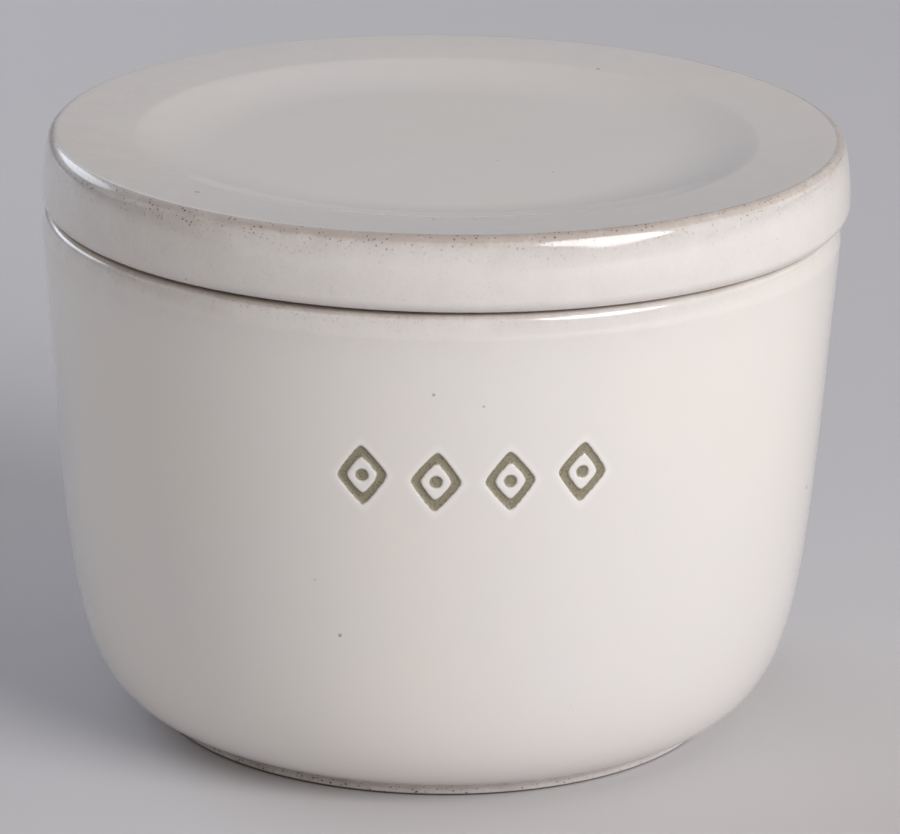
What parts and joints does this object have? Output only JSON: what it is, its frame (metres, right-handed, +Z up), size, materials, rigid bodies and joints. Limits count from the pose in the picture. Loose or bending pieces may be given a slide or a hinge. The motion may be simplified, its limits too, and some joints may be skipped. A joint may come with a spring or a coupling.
{
  "type": "salt cellar",
  "caption": "Lidded stoneware salt cellar: a near-straight bowl rounded in to a low foot, and a loose dished lid whose ring drops into the mouth.",
  "frame": {"origin": "middle of the foot, on the surface that the object stands on", "axes": "+Z up along the bowl's axis; the stamped row faces -Y"},
  "size_m": [0.102, 0.102, 0.0758],
  "materials": {
    "bowl_glaze": "satin cream glaze",
    "lid_glaze": "satin cream glaze"
  },
  "bodies": {
    "bowl": {"bowl": "bowl_glaze"},
    "lid": {"lid": "lid_glaze"}
  },
  "joints": [
    {"name": "lid_lift", "type": "slide", "parent": "bowl", "child": "lid", "axis": [0, 0, 1], "range_m": [0, 0.08]}
  ]
}
